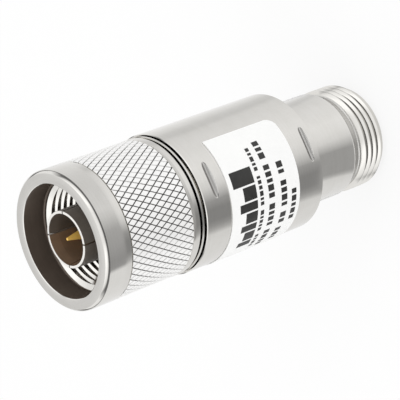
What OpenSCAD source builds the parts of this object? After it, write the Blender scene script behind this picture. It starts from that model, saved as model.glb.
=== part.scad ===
// Coaxial fixed attenuator: a plug with a free-turning coupling nut, a staked barrel and a jack.
// The connector axis is Z. The part stands on the jack's front face at z = 0, plug upwards.

/* [Stack along the axis] */
// Length of the jack below the barrel
jack_reach = 16; // [15:0.5:24]
// Length of the barrel
barrel_len = 22.4; // [20:0.2:40]
// Open groove between the barrel and the flange of the plug shell
barrel_gap = 0.4; // [0.2:0.1:1]
// Thickness of the flange of the plug shell
flange_t = 0.3; // [0.2:0.1:1]
// Gap between the flange and the back of the coupling nut
nut_gap = 0.2; // [0.1:0.05:0.5]
// Length of the coupling nut
nut_len = 16.7; // [16:0.1:20]

/* [Interface thread] */
// Major diameter of the thread on the jack and in the nut, which sets the diameters around it
thread_d = 15.875; // [14:0.005:18]
// Pitch of the thread
thread_pitch = 1.058; // [0.8:0.001:1.25]
// Distance of the first thread crest from the jack's front face
jack_crest_inset = 1.5; // [1.2:0.05:2]
// Distance of the first thread crest in the nut from the end of its lead-in
nut_crest_inset = 0.25; // [0.2:0.05:0.5]

/* [Barrel] */
// How far the barrel stands out beyond the coupling nut
barrel_step = 0.25; // [0.1:0.05:0.6]
// Wall of the barrel
barrel_wall = 1.3; // [1.1:0.1:1.8]
// Bevel on the outside edges of the barrel
barrel_bevel = 0.1; // [0.05:0.05:0.5]

/* [Stake marks] */
// Number of stake marks around each end of the barrel
stake_count = 3; // [2:1:6]
// Direction of the first stake mark around the axis
stake_angle = 274; // [0:1:359]
// Depth of a stake mark at its middle
stake_depth = 0.37; // [0.2:0.01:0.45]
// Radius of the punch that made the stake marks
stake_punch_r = 0.66; // [0.5:0.02:1]
// Distance of the upper stake marks from the plug end of the barrel
stake_inset_plug = 2.4; // [1.4:0.1:4]
// Distance of the lower stake marks from the jack end of the barrel
stake_inset_jack = 1.5; // [1.4:0.1:4]
// How far the displaced metal stands into the groove of the spigot
stake_bump = 0.25; // [0.1:0.05:0.35]
// Radius of the displaced metal
stake_bump_r = 0.5; // [0.4:0.05:0.55]
// Width of the spigot groove that takes the displaced metal
stake_groove_w = 1.3; // [1.2:0.1:2]
// Depth of the spigot groove that takes the displaced metal
stake_groove_depth = 0.45; // [0.4:0.05:0.8]
// Length of spigot beyond the stake marks
spigot_hold = 2.6; // [1.5:0.1:4]

/* [Coupling nut] */
// Wall of the nut around its counterbore
nut_wall = 1.9; // [1.6:0.05:3]
// Length of the plain collar
collar_len = 4.5; // [3:0.1:6]
// Length of the plain land at the back of the nut
land_len = 1.4; // [0.5:0.1:2]
// Bevel on the front edge of the nut
nut_bevel = 0.4; // [0.2:0.05:0.6]
// Bevel on the back edge of the nut
land_bevel = 0.2; // [0.1:0.05:0.4]
// Bevel on the edge where the collar meets the knurl
collar_back_bevel = 0.15; // [0.05:0.05:0.3]
// Number of knurl grooves in each direction
knurl_starts = 60; // [36:1:72]
// Angle of the knurl grooves to the axis
knurl_angle = 30; // [25:1:40]
// Depth of the knurl
knurl_depth = 0.32; // [0.15:0.01:0.5]
// How far the knurl crests lie under the collar
knurl_drop = 0.02; // [0.02:0.01:0.2]
// Radial room around the thread in the open counterbore
counterbore_room = 0.2125; // [0.1:0.0125:0.5]
// Depth of the counterbore
counterbore_depth = 3.5; // [3:0.1:5]
// Length of the wide bevel that leads into the thread
lead_in_len = 0.5; // [0.3:0.1:1]
// Bevel on the mouth of the counterbore
mouth_bevel = 0.1; // [0.05:0.05:0.4]
// Length of the run-out groove behind the thread
run_out_len = 1.6; // [1:0.1:2.5]
// Depth of the run-out groove below the thread crests
run_out_depth = 0.7; // [0.6:0.05:1]

/* [Plug outer contact] */
// Inside diameter of the outer conductor, which sets the diameters of the air line
line_d = 7; // [6.4:0.05:7.6]
// Wall of the slotted outer contact
contact_wall = 0.6; // [0.4:0.05:0.8]
// Distance of the contact rim behind the front of the nut
rim_inset = 1; // [0.5:0.1:2]
// Distance from the contact rim to the shell face that carries the gasket
contact_reach = 10; // [9.6:0.1:11]
// Number of slots in the outer contact
contact_slots = 4; // [3:1:6]
// Direction of the first slot around the axis
slot_angle = 67; // [0:1:89]
// Width of the slots
slot_w = 0.4; // [0.3:0.05:0.8]
// Length of the slots
slot_len = 5.2; // [3:0.1:7]
// Wall of the outer contact at its rim
rim_wall = 0.38; // [0.2:0.02:0.4]
// Length of the taper that thins the wall towards the rim
rim_taper_len = 1.5; // [0.5:0.1:3]
// Bevel on the outside of the contact rim
rim_bevel = 0.05; // [0.02:0.01:0.1]
// Step at the root of the contact that centres the gasket
root_step = 0.2; // [0.2:0.05:0.4]

/* [Plug shell] */
// How far the journal that the nut turns on lies inside the thread's major diameter
journal_inset = 0.7375; // [0.6:0.0125:1.2]
// How far the thin flange stands out beyond the coupling nut
flange_step = 0.05; // [0.05:0.05:0.25]
// How far the gasket lies inside the edge of the shell's face
gasket_margin = 0.2; // [0.1:0.05:1]
// Thickness of the gasket
gasket_t = 1; // [0.6:0.1:1.5]

/* [Snap ring] */
// Height of the snap ring's seat above the flange
snap_rise = 2.2; // [1.5:0.1:3]
// Thickness of the snap ring along the axis
snap_t = 1; // [0.6:0.1:1.2]
// Radial width of the snap ring
snap_w = 1.1; // [0.9:0.05:1.3]
// How far the snap ring stands out of its groove in the shell
snap_proud = 0.55; // [0.4:0.05:0.7]
// Opening of the split in the snap ring, in degrees
snap_split = 24; // [10:1:45]
// Room around the snap ring in both grooves
snap_room = 0.15; // [0.1:0.05:0.3]

/* [Inner conductors] */
// Diameter of the plug pin
pin_d = 1.652; // [1.6:0.002:1.68]
// Distance of the pin's tip behind the front of the nut
tip_inset = 1.25; // [1:0.05:2]
// Length of the pin's taper
tip_len = 3; // [1:0.1:3.5]
// Diameter of the blunt end of the pin
tip_d = 0.4; // [0.2:0.05:0.8]
// Distance of the pin's shoulder behind the contact rim
pin_shoulder = 5.3; // [4.8:0.1:6]
// Ratio of the outer to the inner conductor's diameter in the air line
line_ratio = 2.3026; // [2:0.0001:2.6]
// Depth of the neck of the inner conductors inside the beads
bead_neck_depth = 0.22; // [0.1:0.02:0.5]
// Step down to the forked ends that grip the card
fork_step = 0.42; // [0.2:0.02:0.6]
// Length of the forked ends
fork_len = 3; // [2:0.1:4]
// How far the forked ends reach over the card
fork_grip = 1.2; // [0.8:0.1:1.8]

/* [Beads] */
// How far the insulating beads reach outside the air line
bead_step = 0.8; // [0.4:0.05:1]
// Thickness of the insulating beads
bead_t = 2; // [1.5:0.1:3]
// Distance of the plug bead behind the gasket face
plug_bead_inset = 4; // [3:0.1:5]
// Distance of the jack bead behind the bottom of the socket
jack_bead_inset = 3; // [2:0.1:4]

/* [Jack] */
// Length of the thread on the jack, up to the groove behind it
jack_thread_len = 5; // [4:0.1:6]
// Length of the groove behind the jack's thread
jack_relief_len = 1.5; // [0.8:0.1:2.5]
// Depth of the groove behind the jack's thread
jack_relief_depth = 0.8375; // [0.6:0.0125:1.3]
// Bevel on the front end of the jack, inside the roots of its thread
jack_bevel = 0.4; // [0.2:0.05:0.8]
// Rounding of the plain neck where it meets the groove
neck_round = 0.6; // [0.2:0.05:0.6]
// Depth of the jack's shoulder inside the end of the barrel
jack_shoulder_inset = 0.2; // [0.1:0.05:0.4]
// Radial room around an outer contact in the jack's socket
socket_room = 0.12; // [0.08:0.01:0.3]
// Depth of the jack's socket
socket_depth = 9.1; // [8.8:0.05:9.4]
// Bevel on the mouth of the socket
socket_bevel = 0.4; // [0.2:0.05:0.8]
// Distance of the jack's inner contact behind the front face
jack_contact_inset = 4.3; // [4.1:0.05:4.8]
// Radial room around a pin in the hole of the jack's inner contact
jack_hole_room = 0.024; // [0.01:0.002:0.05]
// Depth of the hole in the jack's inner contact
jack_hole_depth = 5.4; // [5:0.1:6]
// Bevel on the mouth of the hole
jack_hole_bevel = 0.2; // [0.1:0.05:0.4]
// Width of the slots in the jack's inner contact
jack_slot_w = 0.25; // [0.15:0.05:0.3]
// Length of the slots in the jack's inner contact
jack_slot_len = 4.2; // [3:0.1:4.8]

/* [Attenuator element] */
// Width of the resistor card
card_w = 9; // [8:0.1:11]
// Thickness of the resistor card
card_t = 0.64; // [0.4:0.02:1]
// Width of the open channel around the card
channel_w = 6; // [5:0.1:7]
// Height of the open channel around the card
channel_h = 7; // [6:0.1:9]
// Free height of the dished spring washer
spring_h = 0.6; // [0.5:0.05:1]
// Thickness of the dished spring washer
spring_t = 0.3; // [0.2:0.02:0.4]
// Radial room between the beads' bushes and the dished spring washer
spring_room = 0.9; // [0.4:0.1:1.6]

/* [Label] */
// Width of the label along the axis
label_w = 13; // [8:0.1:15]
// Length of the label around the barrel
label_len = 26; // [15:0.5:40]
// Thickness of the label
label_t = 0.1; // [0.05:0.01:0.2]
// Radius of the label's two corners nearest the jack
label_corner_r = 1.6; // [0.5:0.1:3]
// Distance of the label from the plug end of the barrel
label_inset = 4.6; // [4:0.1:6]
// Direction of the label's first edge around the axis
label_edge_angle = 305; // [270:1:350]

/* [Fits] */
// Radial clearance of the nut on its journal
running_clearance = 0.07; // [0.03:0.01:0.1]
// Clearance between pieces that are seated in one another
seat_clearance = 0.02; // [0.01:0.01:0.03]
// Clearance of the forked ends on the card
card_clearance = 0.03; // [0.02:0.01:0.06]

/* [Hidden] */
$fn = 96;
// Overlap that keeps cutters clear of the faces they pass through
cut_margin = 0.5;
// Depth that the knurl ring reaches into the plain bands and the core of the nut
knurl_bury = 0.2;
// How far the nut's run-out groove and the contact's root reach past the ends of the gasket
gasket_room = 0.3;
// Depth of the nut's and the jack's thread as shares of the pitch
nut_thread_share = 0.5413;
jack_thread_share = 0.6134;
// Width of the crests of the nut's and the jack's thread as shares of the pitch
nut_crest_share = 0.25;
jack_crest_share = 0.125;
// Angle of the thread's flanks to a plane across the axis
flank_angle = 30;
// Steps of the rounded corners and edges, in degrees
corner_step = 15;
// How far a rounded corner of the label starts outside its edges
corner_bite = 0.03;

// Stations along the axis, from the jack's front face upwards
barrel_z0 = jack_reach;
barrel_z1 = barrel_z0 + barrel_len;
flange_z0 = barrel_z1 + barrel_gap;
flange_z1 = flange_z0 + flange_t;
nut_z0 = flange_z1 + nut_gap;
nut_z1 = nut_z0 + nut_len;
rim_z = nut_z1 - rim_inset;
face_z = rim_z - contact_reach;
tip_z = nut_z1 - tip_inset;
pin_shoulder_z = rim_z - pin_shoulder;
stake_z1 = barrel_z1 - stake_inset_plug;
stake_z0 = barrel_z0 + stake_inset_jack;
plug_spigot_z = stake_z1 - spigot_hold;
jack_spigot_z = stake_z0 + spigot_hold;
plug_bead_z1 = face_z - plug_bead_inset;
plug_bead_z0 = plug_bead_z1 - bead_t;
jack_bead_z0 = socket_depth + jack_bead_inset;
jack_bead_z1 = jack_bead_z0 + bead_t;
clamp_z0 = jack_spigot_z + spring_h;
clamp_len = plug_spigot_z - clamp_z0;
snap_z0 = flange_z1 + snap_rise;
label_z1 = barrel_z1 - label_inset;
label_z0 = label_z1 - label_w;

// Radii around the thread, from the thread outwards
thread_r = thread_d / 2;
thread_minor_r = thread_r - nut_thread_share * thread_pitch;
jack_root_r = thread_r - jack_thread_share * thread_pitch;
run_out_r = thread_minor_r + run_out_depth;
counterbore_r = thread_r + counterbore_room;
nut_r = counterbore_r + nut_wall;
flange_r = nut_r + flange_step;
barrel_r = nut_r + barrel_step;
barrel_bore_r = barrel_r - barrel_wall;
spigot_r = barrel_bore_r - seat_clearance;
journal_r = thread_r - journal_inset;
nut_bore_r = journal_r + running_clearance;
gasket_r = journal_r - gasket_margin;

// Radii of the air line
line_r = line_d / 2;
contact_r = line_r + contact_wall;
root_r = contact_r + root_step;
socket_r = contact_r + socket_room;
bead_r = line_r + bead_step;
bead_seat_r = bead_r + seat_clearance;
inner_r = line_r / line_ratio;
bead_neck_r = inner_r - bead_neck_depth;
fork_r = inner_r - fork_step;
pin_r = pin_d / 2;
snap_outer_r = journal_r + snap_proud;
snap_inner_r = snap_outer_r - snap_w;
label_r = barrel_r + seat_clearance;
label_arc = label_len / label_r * 180 / PI;

// Knurl: crests and grooves alternate over a grid of half cells
knurl_z0 = nut_z0 + land_len;
knurl_z1 = nut_z1 - collar_len;
knurl_len = knurl_z1 - knurl_z0;
knurl_r = nut_r - knurl_drop;
knurl_columns = 2 * knurl_starts;
knurl_row_target = PI * knurl_r / knurl_starts / tan(knurl_angle);
knurl_rows = round((knurl_len + 2 * knurl_bury) / knurl_row_target);
knurl_row = (knurl_len + 2 * knurl_bury) / knurl_rows;
knurl_core_r = knurl_r - knurl_depth - knurl_bury;
knurl_ring_r = knurl_core_r - knurl_bury;

metal = [0.80, 0.79, 0.76];
brass = [0.78, 0.68, 0.42];
gold = [0.86, 0.66, 0.24];
polymer = [0.94, 0.93, 0.90];
rubber = [0.36, 0.30, 0.25];
ceramic = [0.90, 0.89, 0.86];
paper = [0.97, 0.97, 0.96];

// A turned piece from its half section, given as [radius, height] points
module turned(section) {
    rotate_extrude() polygon(section);
}

// A plain ring between two radii and two heights
module ring(inner, outer, z0, z1) {
    turned([[inner, z0], [outer, z0], [outer, z1], [inner, z1]]);
}

// Radial slots cut inwards from the free end of a tube
module radial_slots(count, width, radius, z0, z1, first = 0) {
    for (k = [0 : count - 1])
        rotate([0, 0, first + k * 360 / count])
            translate([0, -width / 2, z0]) cube([radius + cut_margin, width, z1 - z0]);
}

// Axial length of a thread's flank between two radii
function flank_len(r0, r1) = abs(r1 - r0) * tan(flank_angle);

// Half section of the valley between two crests, up the axis where way is 1 and down it where way is -1
function valley(z, crest_r, root_r, crest_share, way) =
    let (half = (1 - crest_share) * thread_pitch / 2)
    let (half_root = half - flank_len(crest_r, root_r))
    [
        [crest_r, z - way * half],
        [root_r, z - way * half_root],
        [root_r, z + way * half_root],
        [crest_r, z + way * half]
    ];

// Groove around a spigot that takes the staked metal
module stake_groove(z) {
    half_w = stake_groove_w / 2;
    ring(spigot_r - stake_groove_depth, spigot_r + cut_margin, z - half_w, z + half_w);
}

// Straight round bars laid across the barrel at each stake mark
module stake_bars(z, radius, bar_r, bar_len) {
    for (k = [0 : stake_count - 1])
        rotate([0, 0, stake_angle + k * 360 / stake_count])
            translate([radius, 0, z]) rotate([90, 0, 0]) cylinder(r = bar_r, h = bar_len, center = true);
}

function knurl_point(i, j) =
    let (angle = i * 360 / knurl_columns, crest = (i + j) % 2 == 1)
    let (radius = crest ? knurl_r : knurl_r - knurl_depth)
    [radius * cos(angle), radius * sin(angle), knurl_z0 - knurl_bury + j * knurl_row];

function knurl_inner_point(i, j) =
    let (angle = i * 360 / knurl_columns, z = knurl_z0 - knurl_bury + j * knurl_rows * knurl_row)
    [knurl_ring_r * cos(angle), knurl_ring_r * sin(angle), z];

function knurl_at(i, j) = j * knurl_columns + i % knurl_columns;

// Each half cell is folded along the line of its groove
function knurl_folds(i, j) =
    let (a = knurl_at(i, j), b = knurl_at(i + 1, j), c = knurl_at(i + 1, j + 1), d = knurl_at(i, j + 1))
    (i + j) % 2 == 0 ? [[a, d, c], [a, c, b]] : [[a, d, b], [d, c, b]];

// Ring of diamond points that stands on the core of the nut
module knurl_ring() {
    columns = [0 : knurl_columns - 1];
    inner = knurl_rows + 1;
    points = concat(
        [for (j = [0 : knurl_rows]) for (i = columns) knurl_point(i, j)],
        [for (j = [0, 1]) for (i = columns) knurl_inner_point(i, j)]
    );
    faces = concat(
        [for (j = [0 : knurl_rows - 1]) for (i = columns) each knurl_folds(i, j)],
        [for (i = columns) [knurl_at(i, 0), knurl_at(i + 1, 0), knurl_at(i + 1, inner), knurl_at(i, inner)]],
        [for (i = columns) [
            knurl_at(i + 1, knurl_rows), knurl_at(i, knurl_rows),
            knurl_at(i, inner + 1), knurl_at(i + 1, inner + 1)
        ]],
        [for (i = columns) [
            knurl_at(i, inner), knurl_at(i + 1, inner), knurl_at(i + 1, inner + 1), knurl_at(i, inner + 1)
        ]]
    );
    polyhedron(points, faces);
}

// Free-turning nut: plain collar, knurled grip, counterbore, thread and snap ring groove
module coupling_nut() {
    run_out_z0 = face_z - gasket_room;
    run_out_z1 = run_out_z0 + run_out_len;
    lead_in_z1 = nut_z1 - counterbore_depth;
    lead_in_z0 = lead_in_z1 - lead_in_len;
    first_valley_z = lead_in_z0 - nut_crest_inset - thread_pitch / 2;
    valleys = floor((lead_in_z0 - nut_crest_inset - run_out_z1) / thread_pitch);
    groove_r = snap_outer_r + snap_room;
    groove_z0 = snap_z0 - snap_room;
    groove_z1 = snap_z0 + snap_t + snap_room;
    color(metal) union() {
        turned([
            [nut_bore_r, nut_z0],
            [nut_r - land_bevel, nut_z0],
            [nut_r, nut_z0 + land_bevel],
            [nut_r, knurl_z0],
            [knurl_core_r, knurl_z0],
            [knurl_core_r, knurl_z1],
            [nut_r - collar_back_bevel, knurl_z1],
            [nut_r, knurl_z1 + collar_back_bevel],
            [nut_r, nut_z1 - nut_bevel],
            [nut_r - nut_bevel, nut_z1],
            [counterbore_r + mouth_bevel, nut_z1],
            [counterbore_r, nut_z1 - mouth_bevel],
            [counterbore_r, lead_in_z1],
            [thread_minor_r, lead_in_z0],
            for (k = [0 : 1 : valleys - 1])
                each valley(first_valley_z - k * thread_pitch, thread_minor_r, thread_r, nut_crest_share, -1),
            [thread_minor_r, run_out_z1],
            [run_out_r, run_out_z1],
            [run_out_r, run_out_z0],
            [nut_bore_r, run_out_z0],
            [nut_bore_r, groove_z1],
            [groove_r, groove_z1],
            [groove_r, groove_z0],
            [nut_bore_r, groove_z0]
        ]);
        knurl_ring();
    }
}

// Split ring that sits half in the shell and half in the nut, and keeps the nut on
module snap_ring() {
    color(brass) rotate([0, 0, snap_split / 2])
        rotate_extrude(angle = 360 - snap_split)
            translate([snap_inner_r, snap_z0]) square([snap_w, snap_t]);
}

// Soft ring that the mating jack presses on
module plug_gasket() {
    color(rubber) ring(root_r + seat_clearance, gasket_r, face_z, face_z + gasket_t);
}

// Slotted outer contact, journal, thin flange and staked spigot, turned as one
module plug_shell() {
    snap_root_r = snap_inner_r - snap_room;
    root_z = face_z + gasket_t + gasket_room;
    color(metal) difference() {
        turned([
            [line_r, rim_z - rim_taper_len],
            [contact_r - rim_wall, rim_z],
            [contact_r - rim_bevel, rim_z],
            [contact_r, rim_z - rim_bevel],
            [contact_r, root_z],
            [root_r, root_z],
            [root_r, face_z],
            [journal_r, face_z],
            [journal_r, snap_z0 + snap_t + snap_room],
            [snap_root_r, snap_z0 + snap_t + snap_room],
            [snap_root_r, snap_z0],
            [journal_r, snap_z0],
            [journal_r, flange_z1],
            [flange_r, flange_z1],
            [flange_r, flange_z0],
            [spigot_r, flange_z0],
            [spigot_r, plug_spigot_z],
            [bead_seat_r, plug_spigot_z],
            [bead_seat_r, plug_bead_z1],
            [line_r, plug_bead_z1]
        ]);
        radial_slots(contact_slots, slot_w, contact_r, rim_z - slot_len, rim_z + cut_margin, slot_angle);
        stake_groove(stake_z1);
    }
}

// Fork slot across the end of an inner conductor, for the edge of the card
module fork_slot(z0, z1) {
    slot = card_t + 2 * card_clearance;
    reach = inner_r + cut_margin;
    translate([-reach, -slot / 2, z0]) cube([2 * reach, slot, z1 - z0]);
}

// Inner conductor of the plug: tapered pin, air line, bead neck and fork
module plug_pin() {
    fork_z = plug_spigot_z - fork_grip;
    color(gold) difference() {
        turned([
            [0, tip_z],
            [tip_d / 2, tip_z],
            [pin_r, tip_z - tip_len],
            [pin_r, pin_shoulder_z],
            [inner_r, pin_shoulder_z],
            [inner_r, plug_bead_z1],
            [bead_neck_r, plug_bead_z1],
            [bead_neck_r, plug_bead_z0],
            [inner_r, plug_bead_z0],
            [inner_r, fork_z + fork_len],
            [fork_r, fork_z + fork_len],
            [fork_r, fork_z],
            [0, fork_z]
        ]);
        fork_slot(fork_z - cut_margin, plug_spigot_z + card_clearance);
    }
}

// Insulating bead between two heights
module bead(z0, z1) {
    ring(bead_neck_r + seat_clearance, bead_r, z0, z1);
}

module plug_bead() {
    color(polymer) bead(plug_bead_z0, plug_bead_z1);
}

module jack_bead() {
    color(polymer) bead(jack_bead_z0, jack_bead_z1);
}

// Bush that holds a bead against its shoulder and carries on the outer conductor
module bead_bush(z0, z1) {
    ring(line_r, bead_r, z0, z1);
}

module plug_bead_bush() {
    color(brass) bead_bush(plug_spigot_z, plug_bead_z0);
}

module jack_bead_bush() {
    color(brass) bead_bush(jack_bead_z1, jack_spigot_z);
}

// Tube that joins the plug and the jack, with stake marks at both ends
module barrel() {
    bump_reach = sqrt(pow(barrel_bore_r, 2) - pow(barrel_bore_r - stake_bump, 2));
    bump_len = 2 * bump_reach + stake_bump_r;
    color(metal) difference() {
        union() {
            turned([
                [barrel_bore_r, barrel_z0],
                [barrel_r - barrel_bevel, barrel_z0],
                [barrel_r, barrel_z0 + barrel_bevel],
                [barrel_r, barrel_z1 - barrel_bevel],
                [barrel_r - barrel_bevel, barrel_z1],
                [barrel_bore_r, barrel_z1]
            ]);
            for (z = [stake_z0, stake_z1])
                stake_bars(z, barrel_bore_r - stake_bump + stake_bump_r, stake_bump_r, bump_len);
        }
        for (z = [stake_z0, stake_z1])
            stake_bars(z, barrel_r - stake_depth + stake_punch_r, stake_punch_r, 2 * barrel_r);
    }
}

// Outline of what is trimmed off a square corner to round it
function corner_waste(r) =
    let (centre = r - corner_bite)
    concat(
        [[-cut_margin, -cut_margin], [centre, -cut_margin]],
        [for (a = [0 : corner_step : 90]) [centre - r * sin(a), centre - r * cos(a)]],
        [[-cut_margin, centre]]
    );

// Cutter that rounds a corner of the label at the jack's side
module label_corner(angle, turn) {
    rotate([0, 0, angle]) translate([label_r - cut_margin, 0, label_z0]) rotate([turn, 0, 0])
        rotate([90, 0, 90]) linear_extrude(2 * cut_margin) polygon(corner_waste(label_corner_r));
}

// Thin label wrapped part of the way round the barrel
module rating_label() {
    label_start = label_edge_angle - label_arc;
    color(paper) difference() {
        rotate([0, 0, label_start]) rotate_extrude(angle = label_arc)
            translate([label_r, label_z0]) square([label_t, label_w]);
        label_corner(label_start, 0);
        label_corner(label_edge_angle, 90);
    }
}

// Ceramic card that carries the resistors, held by its long edges
module resistor_card() {
    color(ceramic) translate([-card_w / 2, -card_t / 2, clamp_z0]) cube([card_w, card_t, clamp_len]);
}

// Open channel along the middle of both clamp halves
module card_channel() {
    translate([-channel_w / 2, -channel_h / 2, clamp_z0 - cut_margin])
        cube([channel_w, channel_h, clamp_len + 2 * cut_margin]);
}

// Round block that fills the barrel between the two spigots
module clamp_block() {
    translate([0, 0, clamp_z0]) cylinder(r = spigot_r, h = clamp_len);
}

// Half of the grounding clamp with the pocket that takes the card
module card_clamp_front() {
    pocket_w = card_w + 2 * card_clearance;
    color(brass) difference() {
        clamp_block();
        translate([-spigot_r - cut_margin, card_t / 2, clamp_z0 - cut_margin])
            cube([2 * (spigot_r + cut_margin), spigot_r + cut_margin, clamp_len + 2 * cut_margin]);
        translate([-pocket_w / 2, -card_t / 2, clamp_z0 - cut_margin])
            cube([pocket_w, card_t + cut_margin, clamp_len + 2 * cut_margin]);
        card_channel();
    }
}

// Half of the grounding clamp that closes over the card
module card_clamp_rear() {
    color(brass) difference() {
        clamp_block();
        translate([-spigot_r - cut_margin, card_t / 2 - 2 * (spigot_r + cut_margin), clamp_z0 - cut_margin])
            cube([2 * (spigot_r + cut_margin), 2 * (spigot_r + cut_margin), clamp_len + 2 * cut_margin]);
        card_channel();
    }
}

// Dished washer that presses the clamp and the plug spigot together
module spring_washer() {
    spring_outer_r = spigot_r - spring_t;
    spring_inner_r = bead_r + spring_room;
    color(metal) turned([
        [spring_inner_r, clamp_z0 - spring_t],
        [spring_outer_r, jack_spigot_z],
        [spring_outer_r, jack_spigot_z + spring_t],
        [spring_inner_r, clamp_z0]
    ]);
}

// Threaded jack with its socket, plain neck and staked spigot, turned as one
module jack_shell() {
    relief_z1 = jack_thread_len + jack_relief_len;
    relief_r = thread_r - jack_relief_depth;
    valleys = floor((jack_thread_len - jack_crest_inset) / thread_pitch);
    first_valley_z = jack_crest_inset + thread_pitch / 2;
    half_crest = jack_crest_share * thread_pitch / 2;
    first_crest_z = jack_crest_inset - half_crest;
    last_crest_z = jack_crest_inset + valleys * thread_pitch + half_crest;
    shoulder_z = barrel_z0 + jack_shoulder_inset;
    color(metal) difference() {
        turned([
            [socket_r + socket_bevel, 0],
            [jack_root_r - jack_bevel, 0],
            [jack_root_r, jack_bevel],
            [jack_root_r, first_crest_z - flank_len(jack_root_r, thread_r)],
            [thread_r, first_crest_z],
            for (k = [0 : 1 : valleys - 1])
                each valley(first_valley_z + k * thread_pitch, thread_r, jack_root_r, jack_crest_share, 1),
            [thread_r, last_crest_z],
            [relief_r, last_crest_z + flank_len(relief_r, thread_r)],
            [relief_r, relief_z1],
            [thread_r - neck_round, relief_z1],
            for (a = [corner_step : corner_step : 90 - corner_step])
                [thread_r - neck_round + neck_round * sin(a), relief_z1 + neck_round - neck_round * cos(a)],
            [thread_r, relief_z1 + neck_round],
            [thread_r, shoulder_z],
            [spigot_r, shoulder_z],
            [spigot_r, jack_spigot_z],
            [bead_seat_r, jack_spigot_z],
            [bead_seat_r, jack_bead_z0],
            [line_r, jack_bead_z0],
            [line_r, socket_depth],
            [socket_r, socket_depth],
            [socket_r, socket_bevel]
        ]);
        stake_groove(stake_z0);
    }
}

// Inner conductor of the jack: slotted hole, air line, bead neck and fork
module jack_contact() {
    fork_z = clamp_z0 + fork_grip;
    hole_r = pin_r + jack_hole_room;
    hole_end = jack_contact_inset + jack_hole_depth;
    color(gold) difference() {
        turned([
            [hole_r + jack_hole_bevel, jack_contact_inset],
            [inner_r - jack_hole_bevel, jack_contact_inset],
            [inner_r, jack_contact_inset + jack_hole_bevel],
            [inner_r, jack_bead_z0],
            [bead_neck_r, jack_bead_z0],
            [bead_neck_r, jack_bead_z1],
            [inner_r, jack_bead_z1],
            [inner_r, fork_z - fork_len],
            [fork_r, fork_z - fork_len],
            [fork_r, fork_z],
            [0, fork_z],
            [0, hole_end],
            [hole_r, hole_end],
            [hole_r, jack_contact_inset + jack_hole_bevel]
        ]);
        radial_slots(contact_slots, jack_slot_w, inner_r, jack_contact_inset - cut_margin,
                     jack_contact_inset + jack_slot_len, slot_angle);
        fork_slot(clamp_z0 - card_clearance, fork_z + cut_margin);
    }
}

coupling_nut();
snap_ring();
plug_gasket();
plug_shell();
plug_pin();
plug_bead();
plug_bead_bush();
barrel();
rating_label();
resistor_card();
card_clamp_front();
card_clamp_rear();
spring_washer();
jack_shell();
jack_contact();
jack_bead();
jack_bead_bush();
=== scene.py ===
import math

import bmesh
import bpy
import numpy as np
from mathutils import Matrix


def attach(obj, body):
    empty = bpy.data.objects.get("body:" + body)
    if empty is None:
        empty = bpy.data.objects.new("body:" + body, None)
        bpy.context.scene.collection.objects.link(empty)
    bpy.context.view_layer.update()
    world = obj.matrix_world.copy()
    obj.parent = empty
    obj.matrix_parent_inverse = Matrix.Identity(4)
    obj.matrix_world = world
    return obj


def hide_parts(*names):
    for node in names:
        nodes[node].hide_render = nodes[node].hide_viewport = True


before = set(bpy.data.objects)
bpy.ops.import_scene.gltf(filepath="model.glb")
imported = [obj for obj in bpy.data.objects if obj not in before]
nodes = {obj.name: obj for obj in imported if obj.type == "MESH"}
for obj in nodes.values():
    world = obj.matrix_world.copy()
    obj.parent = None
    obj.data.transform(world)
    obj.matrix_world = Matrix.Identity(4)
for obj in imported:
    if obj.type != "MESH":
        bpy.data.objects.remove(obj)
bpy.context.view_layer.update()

scene = bpy.context.scene
MM = 0.001

# Sizes in millimetres, repeated from the part's source; the axis is Z and the jack's face is at 0
NUT_Z0, NUT_Z1 = 39.3, 56.0
NUT_R, NUT_BEVEL, LAND_BEVEL = 10.05, 0.4, 0.2
KNURL_Z0, KNURL_Z1, KNURL_R = 40.7, 51.5, 10.03
KNURL_STARTS = 60
COLLAR_BACK_BEVEL = 0.15
COUNTERBORE_R, COUNTERBORE_Z = 8.15, 52.5
MOUTH_BEVEL = 0.1
LEAD_IN_Z0 = 52.0
RUN_OUT_R, RUN_OUT_Z0, RUN_OUT_Z1 = 8.065, 44.7, 46.3
NUT_BORE_R = 7.27
SNAP_GROOVE_R, SNAP_GROOVE_Z0, SNAP_GROOVE_Z1 = 7.9, 41.15, 42.45
THREAD_R, THREAD_MINOR_R, THREAD_PITCH = 7.9375, 7.3648, 1.058
JACK_ROOT_R = 7.2885
JACK_THREAD_END, JACK_RELIEF_END, JACK_RELIEF_R = 5.0, 6.5, 7.1
JACK_BEVEL, NECK_ROUND = 0.4, 0.6
JACK_SHOULDER_Z, JACK_SPIGOT_Z, SPIGOT_R = 16.2, 20.1, 8.98
STAKE_Z, STAKE_GROOVE_W, STAKE_GROOVE_DEPTH = 17.5, 1.3, 0.45
PLUG_STAKE_Z = 36.0
SLOT_COUNT, SLOT_ANGLE, SLOT_W, SLOT_Z0 = 4, 67.0, 0.4, 49.8
BEAD_SEAT_R, BEAD_Z0 = 4.32, 12.1
LINE_R, SOCKET_R, SOCKET_DEPTH, SOCKET_BEVEL = 3.5, 4.22, 9.1, 0.4
LABEL_TOP_R = 10.42


# Mesh helpers
SHARP_ANGLE = 30.0
FINE_ROUND, SMALL_ROUND, EDGE_ROUND, SOFT_ROUND = 0.03, 0.04, 0.05, 0.1
THREAD_STEPS = 120


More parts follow.
